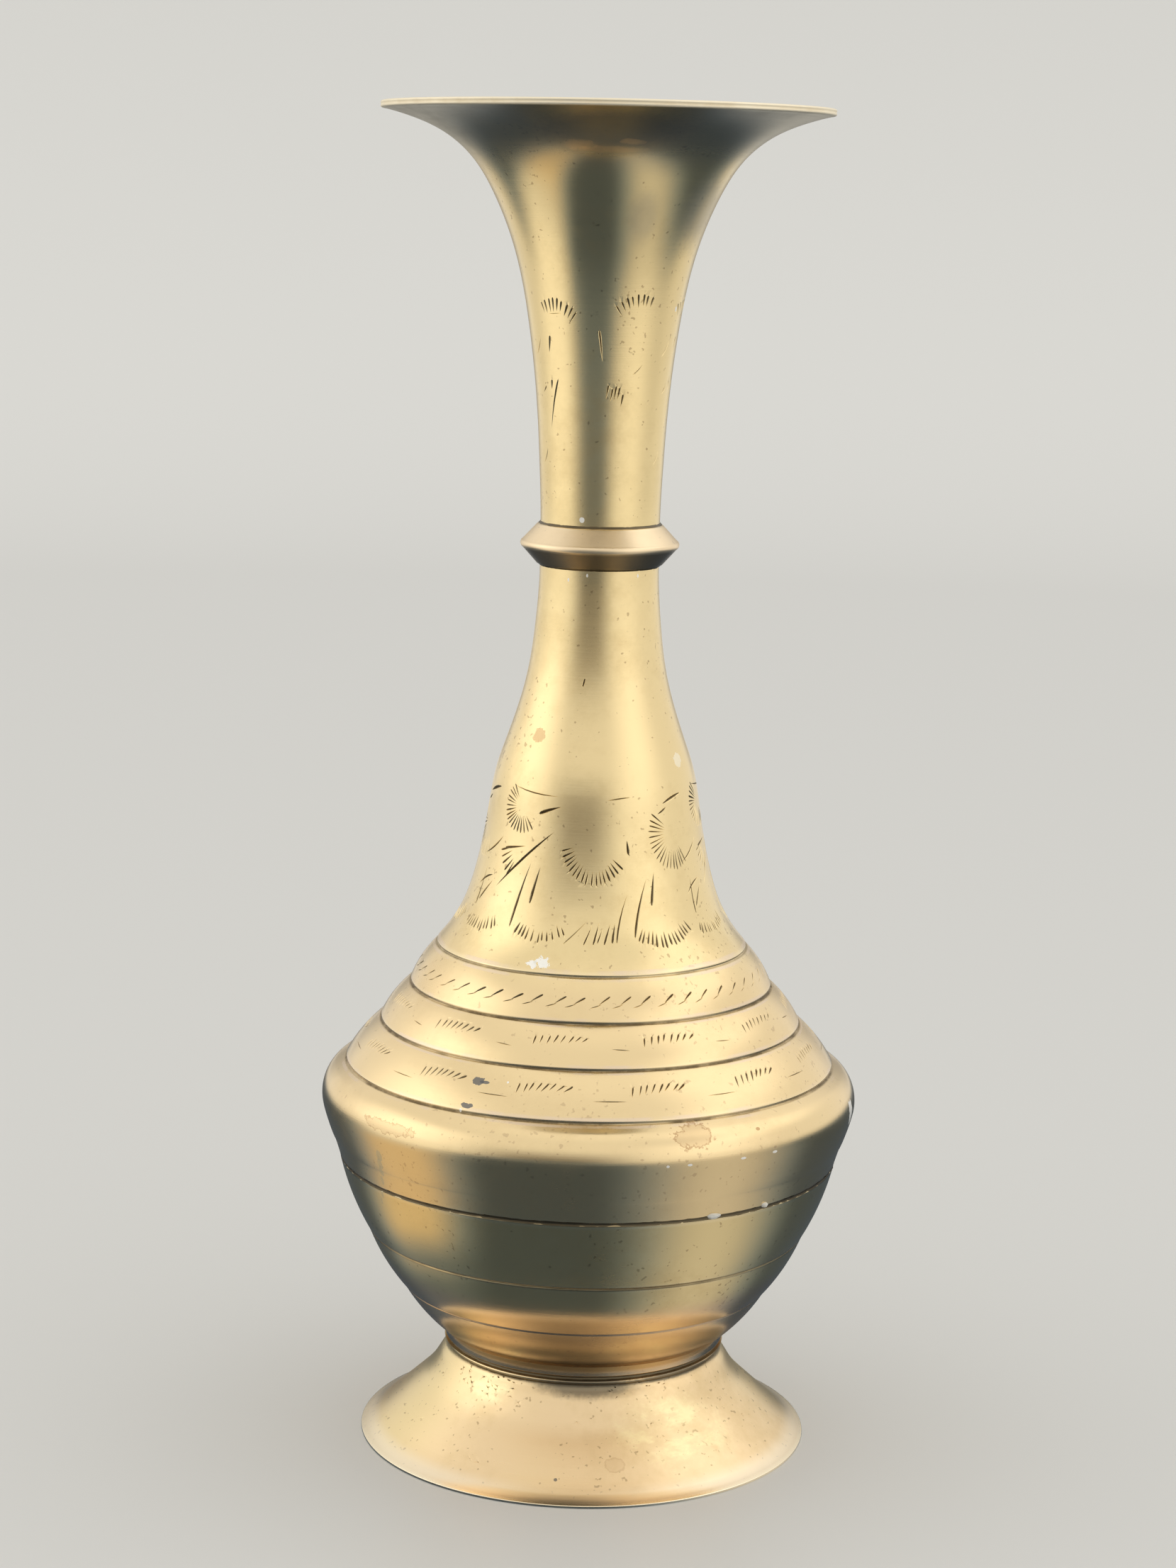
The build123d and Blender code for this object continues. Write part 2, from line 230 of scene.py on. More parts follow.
class Cut:
    """One cut of the graver, from its thin start to its thick end, as (angle, height) places."""

    # a form's points: the share of the length, and the share of the full width there
    TEAR = ((0.12, 0.3), (0.3, 0.58), (0.52, 0.82), (0.74, 0.98), (0.88, 0.9), (0.96, 0.6))
    LEAF = ((0.1, 0.45), (0.3, 0.88), (0.5, 1.0), (0.7, 0.88), (0.9, 0.45))
    PIT = ((0.15, 0.75), (0.5, 1.0), (0.85, 0.75))

    def __init__(self, start, end, width, bend=0.0, form=TEAR):
        self.start, self.end, self.width, self.bend, self.form = start, end, width, bend, form

    def sweep(self):
        """The middle and half of the angle that the cut takes."""
        return (self.start[0] + self.end[0]) / 2, abs(self.end[0] - self.start[0]) / 2

    def turned_by(self, angle):
        """The same cut farther round the vase."""
        return Cut((self.start[0] + angle, self.start[1]), (self.end[0] + angle, self.end[1]),
                   self.width, self.bend, self.form)

    def lay_out(self, flat):
        """Works out the cut's middle line and half widths on the flattened band."""
        a, b = flat(self.start), flat(self.end)
        side = np.array([a[1] - b[1], b[0] - a[0]])
        control = (a + b) / 2 + side / np.linalg.norm(side) * self.bend * 2
        shares = np.array([0.0] + [t for t, _ in self.form] + [1.0])[:, None]
        self.middle = (1 - shares) ** 2 * a + 2 * shares * (1 - shares) * control + shares**2 * b
        self.half = np.array([0.0] + [h for _, h in self.form] + [0.0]) * self.width / 2
        direction = np.gradient(self.middle, axis=0)
        direction /= np.linalg.norm(direction, axis=1)[:, None]
        across = np.stack([-direction[:, 1], direction[:, 0]], axis=1)
        inner = slice(1, -1)
        left = self.middle[inner] + across[inner] * self.half[inner, None]
        right = self.middle[inner] - across[inner] * self.half[inner, None]
        self.border = np.vstack([self.middle[:1], left, self.middle[-1:], right[::-1]])

    def depth(self, points):
        """How deep the cut is at each flattened point."""
        deepest = np.zeros(len(points))
        for k in range(len(self.middle) - 1):
            a, b = self.middle[k], self.middle[k + 1]
            along = b - a
            share = np.clip((points - a) @ along / (along @ along), 0, 1)
            gap = np.linalg.norm(points - a - share[:, None] * along, axis=1)
            half = self.half[k] + (self.half[k + 1] - self.half[k]) * share
            deepest = np.maximum(deepest, (half - gap) * GRAVER_SLOPE)
        return deepest


def opened(cuts, radius):
    """The column where a band can be opened flat, and its cuts, moved aside where they touch it."""
    free = np.full(COLUMNS, 360.0)
    angle = np.arange(COLUMNS) * 360 / COLUMNS
    spans = [cut.sweep() for cut in cuts]
    for middle, half in spans:
        free = np.minimum(free, np.abs((angle - middle + 180) % 360 - 180) - half)
    best = int(np.argmax(free))
    if free[best] < 0:
        raise ValueError("the cuts leave no gap to open the band at")
    moved = []
    for cut, (middle, half) in zip(cuts, spans):
        side = (middle - angle[best] + 180) % 360 - 180
        lack = math.degrees((cut.width / 2 + SEAM_ROOM) / radius) - (abs(side) - half)
        moved.append(cut.turned_by(math.copysign(lack, side)) if lack > 0 else cut)
    return best, moved


def draw_cuts(cuts, points, edges):
    """Adds each cut's border and middle line to the points and edges of a flat band."""
    for cut in cuts:
        base, count = len(points), len(cut.border)
        points += [tuple(p) for p in cut.border]
        edges += [(base + k, base + (k + 1) % count) for k in range(count)]
        spine = len(points)
        points += [tuple(p) for p in cut.middle[1:-1]]
        chain = [base, *range(spine, len(points)), base + len(cut.middle) - 1]
        edges += zip(chain[:-1], chain[1:])


def cut_depths(cuts, points):
    """How deep the cuts are at each point of a flat band."""
    depth = np.zeros(len(points))
    for cut in cuts:
        box_low, box_high = cut.border.min(0) - cut.width, cut.border.max(0) + cut.width
        near = np.flatnonzero(np.all((points >= box_low) & (points <= box_high), axis=1))
        depth[near] = np.maximum(depth[near], cut.depth(points[near]))
    depth[depth < TINY] = 0
    return depth


class Turned:
    """Builds the mesh of a turned piece, with the cuts of the graver as real grooves in its bands."""

    def __init__(self, outline, uneven=0.0):
        self.outline, self.uneven = outline, uneven
        self.vertices, self.faces, self.flat_faces, self.bands = [], [], [], []
        self.row_start = {}

    def add(self, *values):
        """Adds a vertex: its radius, height, angle in radians, normal, wear, dirt and share of a full cut."""
        self.vertices.append(values)
        return len(self.vertices) - 1

    def row(self, i):
        """The first vertex of row i, which is made when it is first asked for."""
        if i not in self.row_start:
            o = self.outline
            pole = o.points[i, 0] < ON_AXIS
            self.row_start[i] = len(self.vertices)
            for column in range(1 if pole else COLUMNS):
                self.add(o.points[i, 0], o.points[i, 1], 2 * math.pi * column / COLUMNS, o.normals[i],
                         o.wear[i], o.dirt[i], 0.0)
        return self.row_start[i]

    def vertex(self, i, column):
        """The vertex in a column of row i."""
        start = self.row(i)
        return start if self.outline.points[i, 0] < ON_AXIS else start + column % COLUMNS

    def engrave(self, low, high, cuts):
        """Marks the band between two heights on the outside as the place for these cuts."""
        first, last = self.outline.outer_row(low), self.outline.outer_row(high)
        self.bands.append((min(first, last), max(first, last), cuts))

    def lump(self, angle, height, across, up, out):
        """Adds a drop of metal or flux that sits on the outside at an angle and a height."""
        around, rings = 20, 7
        sunk, domed, ragged = 0.3, 1.3, 0.3
        base = self.outline.points[self.outline.outer_row(height), 0] - sunk * out
        start = len(self.vertices)
        for r in range(rings + 1):
            rise = math.pi / 2 * r / rings
            for k in range(around if r < rings else 1):
                turn = 2 * math.pi * k / around
                place = Vector((math.cos(turn) + angle, math.sin(turn) + height, rise))
                shape = 1 + ragged * noise.noise(place)
                x = across / 2 * shape * math.cos(rise) * math.cos(turn)
                z = up / 2 * shape * math.cos(rise) * math.sin(turn)
                self.add(base + domed * out * math.sin(rise), height + z, math.radians(angle) + x / base,
                         np.array([1.0, 0.0]), 0.0, 0.0, 1.0)
        for r in range(rings):
            for k in range(around):
                low, low_on = start + r * around + k, start + r * around + (k + 1) % around
                top = [start + rings * around] if r == rings - 1 else [low_on + around, low + around]
                self.flat_faces.append(len(self.faces))
                self.faces.append([low, low_on, *top])

    def plain_faces(self):
        """Quads between the rows that are in no band."""
        n = len(self.outline.points)
        taken = set()
        for first, last, _ in self.bands:
            taken.update(range(first, last))
        for i in range(n if self.outline.closed else n - 1):
            if i in taken:
                continue
            j = (i + 1) % n
            for c in range(COLUMNS):
                corners = [self.vertex(i, c), self.vertex(i, c + 1), self.vertex(j, c + 1), self.vertex(j, c)]
                unique = [v for k, v in enumerate(corners) if v not in corners[:k]]
                self.faces.append(unique)

    def band_grid(self, first, last, seam, mean_radius):
        """A band's rows laid flat: their points, each one's (row, column), and the edges of the border."""
        points, ids, edges = [], [], []
        for i in range(first, last + 1):
            for c in range(COLUMNS + 1):
                points.append((2 * math.pi * c / COLUMNS * mean_radius, self.outline.places[i]))
                ids.append((i, seam + c))
        width = COLUMNS + 1
        for base in (0, (last - first) * width):
            edges += [(base + c, base + c + 1) for c in range(COLUMNS)]
        for r in range(last - first):
            edges += [(r * width, (r + 1) * width), (r * width + COLUMNS, (r + 1) * width + COLUMNS)]
        return points, ids, edges

    def band_faces(self, first, last, cuts):
        """Opens a band flat, cuts the strokes into it and triangulates it."""
        o = self.outline
        rows = slice(first, last + 1)
        places, heights = o.places[rows], o.points[rows, 1]
        upward = slice(None) if heights[-1] > heights[0] else slice(None, None, -1)
        mean_radius = float(np.mean(o.points[rows, 0]))
        seam, cuts = opened(cuts, mean_radius)
        seam_angle = seam * 360 / COLUMNS

        def flat(place):
            angle = (place[0] - seam_angle) % 360
            along = np.interp(place[1], heights[upward], places[upward])
            return np.array([math.radians(angle) * mean_radius, along])

        def at(place, values):
            return np.interp(place, places, values[rows])

        for cut in cuts:
            cut.lay_out(flat)
        flat_points, ids, edges = self.band_grid(first, last, seam, mean_radius)
        draw_cuts(cuts, flat_points, edges)
        made = delaunay_2d_cdt([Vector(p) for p in flat_points], edges, [], 0, TINY, True)
        points = np.array([tuple(p) for p in made[0]])
        depth = cut_depths(cuts, points)
        mesh_ids = []
        for k, origins in enumerate(made[3]):
            grid = [i for i in origins if i < len(ids)]
            if grid and depth[k] == 0:
                mesh_ids.append(self.vertex(*ids[grid[0]]))
                continue
            place = points[k, 1]
            normal = np.array([at(place, o.normals[:, 0]), at(place, o.normals[:, 1])])
            normal /= np.linalg.norm(normal)
            radius = at(place, o.points[:, 0]) - normal[0] * depth[k]
            height = at(place, o.points[:, 1]) - normal[1] * depth[k]
            angle = points[k, 0] / mean_radius + math.radians(seam_angle)
            mesh_ids.append(self.add(radius, height, angle, normal, at(place, o.wear), at(place, o.dirt),
                                     min(depth[k] / FULL_CUT, 1.0)))
        for triangle in made[2]:
            corners = [mesh_ids[v] for v in triangle]
            if len(set(corners)) < 3:
                continue
            if max(depth[v] for v in triangle) > 0:
                self.flat_faces.append(len(self.faces))
            self.faces.append(corners)

    def build(self, name):
        """The finished object, with exact normals and its wear, dirt and cut values."""
        for first, last, cuts in self.bands:
            self.band_faces(first, last, cuts)
        self.plain_faces()
        radius, height, angle, normal, wear, dirt, cut = (np.array(v) for v in zip(*self.vertices))
        if self.uneven:
            density, fall, gap, octaves = 0.8, 0.6, 2.0, 3
            places = np.stack([radius * np.sin(angle), radius * np.cos(angle), height], axis=1)
            rough = [noise.fractal(Vector(place) * density, fall, gap, octaves) for place in places]
            radius = radius + self.uneven * np.array(rough)
        smooth = turned(normal[:, 0], normal[:, 1], angle)
        mesh = bpy.data.meshes.new(name)
        mesh.from_pydata((turned(radius, height, angle) * MM).tolist(), [], self.faces)
        mesh.update()
        flat = set(self.flat_faces)
        loops = []
        for polygon in mesh.polygons:
            polygon.use_smooth = True
            for v in polygon.vertices:
                loops.append(tuple(polygon.normal) if polygon.index in flat else tuple(smooth[v]))
        mesh.normals_split_custom_set(loops)
        for label, values in (("wear", wear), ("dirt", dirt), ("cut", cut)):
            mesh.attributes.new(label, "FLOAT", "POINT").data.foreach_set("value", values.astype(np.float32))
        return placed(name, mesh)


# ---- the engraved pattern

HAND = random.Random(7)  # the small unevenness of hand work


def wobble(amount):
    """A small random difference, up to this amount either way."""
    return HAND.uniform(-amount, amount)


def fan(centre, size, sweep, count, length, width, radius):
    """Cuts that spread from a centre: size is (across, up), sweep is (first, last) direction in degrees."""
    cuts = []
    degrees_per_mm = math.degrees(1 / radius)
    for k in range(count):
        direction = math.radians(sweep[0] + (sweep[1] - sweep[0]) * k / (count - 1) + wobble(1.2))
        reach = 1 + wobble(0.02)
        inner = 1 - length / math.hypot(size[0] * math.cos(direction), size[1] * math.sin(direction))
        inner += wobble(0.03)
        x, y = size[0] * math.cos(direction) * degrees_per_mm, size[1] * math.sin(direction)
        start = (centre[0] + x * inner, centre[1] + y * inner)
        end = (centre[0] + x * reach, centre[1] + y * reach)
        cuts.append(Cut(start, end, width * (1 + wobble(0.15))))
    return cuts


def repeated(motif):
    """The cuts of every repeat of a pattern round the vase, each drawn anew, with its own small unevenness.
    """
    return [cut.turned_by(360 / REPEATS * repeat) for repeat in range(REPEATS) for cut in motif()]


def bell_motif():
    """Flowers, petals and leaves on the bell."""
    leaf = Cut.LEAF
    splayed = (((-2, 85.6), (-12, 82.2), 0.2), ((0, 85), (-3.5, 82.2), 0.32),
               ((3, 85.3), (0.5, 82.3), 0.42), ((4.6, 84.6), (2.2, 82.5), 0.3),
               ((8, 85.3), (5, 82.3), 0.42), ((10, 85.3), (8.4, 82.5), 0.48))
    return [
        # left flower: an open fan, a curved line over it and a leaf
        *fan((-42.5, 101.2), (3.9, 4), (128, 306), 17, 2.6, 0.31, 16.2),
        Cut((-20, 103.3), (-50.5, 104.1), 0.26, 0.25, leaf),
        Cut((-18, 101.8), (-31, 100.5), 0.62, -0.1),
        # its stem and the small fan beside it
        Cut((-21, 98.1), (-53, 88.8), 0.42, -0.35, leaf),
        Cut((-37, 95.5), (-51.5, 94.7), 0.45),
        *fan((-38, 95.8), (5.1, 6), (196, 238), 5, 2.7, 0.34, 17),
        Cut((-57.5, 90.3), (-69, 88.3), 0.36, -0.35, leaf),
        Cut((-56.5, 89.5), (-64.5, 86.3), 0.42, -0.1),
        # left petal
        Cut((-32.5, 93.2), (-38, 83.6), 0.42, -0.4),
        Cut((-27, 92.8), (-30.3, 87.3), 0.5, -0.1),
        *fan((-24, 92), (9.7, 9.8), (246, 297), 11, 1.8, 0.36, 20.2),
        # middle flower
        *fan((0.6, 97), (5.5, 6.5), (194, 320), 17, 2.2, 0.38, 17.5),
        Cut((17.2, 97.1), (18, 95), 0.5),
        Cut((7, 103), (20, 103.4), 0.24, 0.05, leaf),
        # splayed leaf in the middle
        *[Cut(start, end, width) for start, end, width in splayed],
        Cut((16.5, 89.3), (10.3, 82.4), 0.36, -0.3),
        # right petal
        Cut((27, 91.6), (18.3, 83), 0.42, -0.3),
        Cut((31, 92.2), (28.2, 87.4), 0.5),
        *fan((31.5, 91), (9.5, 9.4), (243, 305), 14, 2, 0.38, 20.2),
        # right flower with its leaves
        *fan((45.5, 97.7), (4.6, 5.6), (148, 302), 18, 3, 0.28, 16.6),
        Cut((55.5, 103.3), (39.5, 102), 0.55, -0.15, leaf),
        Cut((42.5, 101.6), (36, 100.6), 0.4, 0.1, leaf),
        Cut((65.5, 96.3), (50, 93), 0.34, 0.35, leaf),
        # the petal shared with the next repeat
        Cut((55.5, 91.5), (54, 85.3), 0.42, -0.1),
        *fan((62, 92), (9.7, 9.8), (250, 296), 11, 1.8, 0.36, 20.2),
    ]


def neck_motif():
    """Arched fans, single cuts and small sprays on the trumpet."""
    leaf, tick = Cut.LEAF, 2
    tick_ends = ((4.5, 163.9), (8.2, 163.4), (11.2, 163.8), (14.2, 163.6), (17.3, 162.6))
    return [
        *fan((-41, 169), (6, 7.4), (113, 48), 9, 1.9, 0.34, 11.4),
        Cut((-33, 174.2), (-46, 174), 0.16, 0, leaf),
        Cut((-48.5, 168.4), (-46.5, 170.9), 0.4),
        Cut((-48.5, 163), (-47.8, 164.4), 0.4),
        Cut((-51, 157.2), (-40.3, 164.6), 0.34, 0.2),
        *fan((27, 169.5), (6.2, 7.7), (128, 72), 8, 1.8, 0.3, 11.6),
        Cut((-1, 167.3), (-3.8, 172), 0.4),
        *[Cut((angle - tick, top - tick + wobble(0.3)), (angle, top), 0.36) for angle, top in tick_ends],
        Cut((24, 165.4), (33, 167), 0.18, -0.15, leaf),
        Cut((53, 168), (61, 170.4), 0.2, -0.15, leaf),
        Cut((60, 162.5), (64, 163.4), 0.3),
        Cut((55, 152), (62, 154.2), 0.2, -0.2, leaf),
    ]


def upper_tier_cuts():
    """A row of slanting ticks, each with a thin tail."""
    cuts = []
    count, first = 50, 3.4
    for k in range(count):
        middle = first + k * 360 / count + wobble(0.8)
        rise = wobble(0.12)
        cuts.append(Cut((middle - 1.6, 74.45), (middle + 2.6, 75.6 + rise), 0.34 + wobble(0.05), 0.06))
        cuts.append(Cut((middle - 0.4, 74.65), (middle - 4, 74.15), 0.17, 0.03, Cut.LEAF))
    return cuts


def spray(middle, height, count, spread, lean, length, width):
    """A short row of cuts whose tops follow an arc; each leans farther over than the one before it."""
    cuts = []
    arch = 0.3
    degrees_per_mm = 1.9  # on the tiers, roughly
    for k in range(count):
        share = k / (count - 1)
        angle = middle - spread / 2 + spread * share + wobble(0.25)
        slant = math.radians(lean[0] + (lean[1] - lean[0]) * share + wobble(3))
        top = height + arch * math.sin(math.pi * share) + wobble(0.06)
        size = length * (1 + wobble(0.12))
        start = (angle - math.cos(slant) * size * degrees_per_mm, top - math.sin(slant) * size)
        cuts.append(Cut(start, (angle, top), width * (1 + wobble(0.15))))
    return cuts


def middle_tier_cuts():
    """Sprays of eight cuts, with a thin dash between each two."""
    cuts = []
    count, first = 11, 24
    for k in range(count):
        middle = first + k * 360 / count + wobble(1)
        cuts += spray(middle, 70.3, 8, 15, (82, 32), 1.25, 0.36)
        cuts.append(Cut((middle + 14, 69), (middle + 19, 68.8), 0.17, 0, Cut.LEAF))
    return cuts


def lower_tier_cuts():
    """Closer sprays, with a longer dash before each."""
    cuts = []
    count, first = 13, 17
    for k in range(count):
        middle = first + k * 360 / count + wobble(1)
        cuts += spray(middle, 64.3, 8, 13, (80, 30), 1.35, 0.38)
        cuts.append(Cut((middle - 16.5, 62.6), (middle - 8.5, 62.55), 0.18, 0, Cut.LEAF))
    return cuts


def foot_pits():
    """Small casting pits in the foot, thickest under the bowl on the left."""
    pits = []
    # each group: how many, its ranges of angle, height and size, and a pit's length over its size
    groups = (
        (34, (-60, -24), (10.8, 14.2), (0.14, 0.32), 2),
        (14, (10, 40), (13.2, 14.3), (0.12, 0.26), 3),
        (40, (-180, 180), (3, 13.8), (0.1, 0.2), 1.8),
    )
    for count, angles, heights, sizes, stretch in groups:
        for _ in range(count):
            angle, z, size = HAND.uniform(*angles), HAND.uniform(*heights), HAND.uniform(*sizes)
            pits.append(Cut((angle, z), (angle + size * stretch, z + wobble(0.1)), size, 0, Cut.PIT))
    return pits


# ---- materials

# colours are (red, green, blue)
GOLD, ROSE, BROWN, WORN = (0.86, 0.69, 0.37), (0.87, 0.655, 0.40), (0.64, 0.47, 0.22), (0.95, 0.79, 0.49)
GRIME_AND_SHADE, SPECK, BOWL_SHADE = (0.10, 0.065, 0.03), (0.20, 0.125, 0.055), (0.20, 0.17, 0.12)
BROWN_MARK, GREY_MARK, PALE_MARK = (0.40, 0.22, 0.10), (0.16, 0.16, 0.16), (0.95, 0.86, 0.66)
DRY_WATER, CHALK, RESIDUE = (0.66, 0.60, 0.42), (0.97, 0.96, 0.92), (0.80, 0.65, 0.52)
FLARE_SHADE, DARK_FLARE_SHADE, COPPER_REFLECTION = (0.31, 0.30, 0.25), (0.15, 0.17, 0.18), (0.95, 0.66, 0.38)
PALE_LIP, PALE_EDGE_HIGHLIGHT, PAINTED_YELLOW_HIGHLIGHT = (0.97, 0.88, 0.70), (0.99, 0.88, 0.70), (0.94, 0.80, 0.46)
COLLAR_BRASS, COLLAR_UNDERSIDE_SHADE, FILLER_AND_GAP_SHADE = (0.93, 0.78, 0.58), (0.17, 0.135, 0.09), (0.065, 0.048, 0.03)
DARK_BRONZE_PATCH, COPPERY_BASE = (0.46, 0.35, 0.25), (0.74, 0.50, 0.33)

SEAM_HEIGHT = 44.9  # the line between the shoulder and the bowl


class Finish:
    """A node material, with short calls for the nodes it uses."""

    def __init__(self, name):
        self.material = bpy.data.materials.new(name)
        self.material.use_nodes = True
        self.nodes, self.links = self.material.node_tree.nodes, self.material.node_tree.links
        self.shader = self.nodes["Principled BSDF"]
        self.place = self.node("TexCoord").outputs["Object"]

    def node(self, kind, *values, **settings):
        """A new node, with these values in its inputs."""
        made = self.nodes.new("ShaderNode" + kind)
        for key, value in settings.items():
            setattr(made, key, value)
        for value, socket in zip(values, made.inputs):
            self.put(value, socket)
        return made

    def put(self, value, socket):
        """Links a socket to another, or gives it a number, a vector or a colour."""
        if isinstance(value, bpy.types.NodeSocket):
            self.links.new(value, socket)
        elif socket.type == "RGBA":
            socket.default_value = (*value, 1)
        else:
            socket.default_value = value

    def fill(self, node, values):
        """Gives a node's inputs their values by name."""
        for label, value in values.items():
            self.put(value, node.inputs[label])

    def math(self, operation, *values):
        return self.node("Math", *values, operation=operation).outputs[0]

    def times(self, *values):
        return reduce(lambda a, b: self.math("MULTIPLY", a, b), values)

    def total(self, *values):
        return reduce(lambda a, b: self.math("ADD", a, b), values)

    def gap(self, a, b):
        """How far apart two values are."""
        return self.math("ABSOLUTE", self.math("SUBTRACT", a, b))

    def vector(self, operation, *values):
        made = self.node("VectorMath", *values, operation=operation)
        return made.outputs["Value"] if operation == "LENGTH" else made.outputs[0]

    def axes(self, vector):
        return self.node("SeparateXYZ", vector).outputs

    def mix(self, share, a, b):
        """Colour b where the share is 1, and colour a where it is 0."""
        made = self.node("Mix", share, data_type="RGBA")
        self.put(a, made.inputs[6])
        self.put(b, made.inputs[7])
        return made.outputs[2]

    def span(self, value, low, high, to_low=0, to_high=1):
        """The value carried smoothly from one range to another, and held at its ends."""
        ends = low, high, to_low, to_high
        return self.node("MapRange", value, *ends, interpolation_type="SMOOTHSTEP").outputs[0]

    def noise(self, scale, detail=3, roughness=0.55, place=None):
        """Cloudy noise; a scale of 1000 has about one cloud to each millimetre."""
        made = self.node("TexNoise")
        values = {"Vector": place or self.place, "Scale": scale, "Detail": detail, "Roughness": roughness}
        self.fill(made, values)
        return made.outputs["Fac"]

    def value(self, name):
        """The wear, the dirt or the share of a full cut that the mesh stores at each point."""
        return self.node("Attribute", attribute_name=name).outputs["Fac"]

    def stretched(self, x, y, z):
        return self.vector("MULTIPLY", self.place, (x, y, z))

    def up(self):
        """The height above the floor, in metres."""
        return self.axes(self.place)[2]

    def rise(self, low, high, to_low=0, to_high=1):
        """A value carried smoothly from one height to another."""
        return self.span(self.up(), low * MM, high * MM, to_low, to_high)

    def line(self, height, half):
        """1 along a line round the vase at a height, falling to 0 at a distance of half."""
        return self.span(self.gap(self.up(), height * MM), half * MM, half * MM * 0.5)


class Brass(Finish):
    """Satin brass from the lathe: fine rings, mottled tarnish, dirt in corners, painted shade in the cuts,
    worn edges.
    """

    def __init__(self, name, rosy=0.2, roughness=0.2, outline=None):
        super().__init__(name)
        self.outline, self.colour, self.rough = outline, GOLD, roughness
        self.fine = self.noise(1300, 3, 0.6)
        self.broad = self.noise(38, 3, 0.55)
        self.mottle = self.noise(420, 4, 0.65)
        self.tint(self.times(self.span(self.noise(21, 1), 0.3, 0.6), rosy), ROSE)
        cloud = self.total(self.times(self.broad, 0.72), self.times(self.mottle, 0.28))
        tarnish_and_shade = self.span(cloud, 0.46, 0.68)
        self.tint(self.times(tarnish_and_shade, 0.42), BROWN)
        gathered = self.times(self.noise(70, 2), 0.3)
        specks = self.span(self.total(self.noise(1250, 1.5, 0.5), gathered), 0.83, 0.89)
        self.tint(self.times(specks, 0.45), SPECK)
        dirt = self.span(self.times(self.value("dirt"), self.total(self.mottle, 0.4)), 0.25, 1)
        dirt = self.times(dirt, self.span(self.noise(95, 2), 0.36, 0.56, 0.38, 0.9))
        # the cuts are painted dark as the shade inside them, and the corners get dirt
        self.dirt_and_cut_shade = self.math("MAXIMUM", dirt, self.span(self.value("cut"), 0.1, 0.65, 0, 0.9))
        self.tint(self.dirt_and_cut_shade, GRIME_AND_SHADE)
        wear = self.span(self.times(self.value("wear"), self.total(self.broad, 0.5)), 0.15, 0.8)
        self.tint(self.times(wear, 0.7), WORN)
        rings = self.noise(1, 3, 0.7, self.stretched(60, 60, 4200))
        self.roughen(tarnish_and_shade, 0.08)
        self.roughen(self.total(rings, -0.5), 0.08)
        self.roughen(self.dirt_and_cut_shade, 0.3)
        self.roughen(wear, -0.06)
        grain, dents = self.times(self.noise(2600, 2, 0.5), 0.003), self.times(self.noise(160, 2), 0.016)
        self.relief = self.total(self.times(rings, 0.0045), grain, dents)

    def tint(self, mask, colour):
        self.colour = self.mix(mask, self.colour, colour)

    def roughen(self, mask, amount):
        self.rough = self.total(self.rough, self.times(mask, amount))

    def stain(self, place, size, colour, strength, rough=0.1, ragged=0.5, soft=0.15, ring=False):
        """A mark round a place (angle, height); its size is how far it reaches (across, up) or (x, y, up)."""
        size = size if len(size) == 3 else (size[0], *size)
        middle = self.outline.surface_point(*place)
        offset = self.vector("SUBTRACT", self.place, tuple(v * MM for v in middle))
        scaled = self.vector("MULTIPLY", offset, tuple(1 / (v * MM) for v in size))
        raggedness = self.total(self.mottle, self.fine, -1)
        reach = self.total(self.vector("LENGTH", scaled), self.times(raggedness, ragged))
        mask = self.span(reach, 1 - soft, 1, 1, 0)
        if ring:
            mask = self.times(mask, self.span(reach, 0.72, 0.92, 0.3, 1))
        mask = self.times(mask, strength)
        self.tint(mask, colour)
        self.roughen(mask, rough)

    def chalk(self, place, size, strength=0.95, ragged=0.2, soft=0.15):
        """A dry white spot."""
        self.stain(place, size, CHALK, strength, 0.4, ragged, soft)

    def done(self):
        """The material, with its colour, roughness and fine relief linked."""
        bump = self.node("Bump")
        self.fill(bump, {"Strength": 1, "Distance": MM, "Height": self.relief})
        self.fill(self.shader, {"Base Color": self.colour, "Roughness": self.rough, "Metallic": 1})
        self.fill(self.shader, {"Normal": bump.outputs[0]})
        return self.material


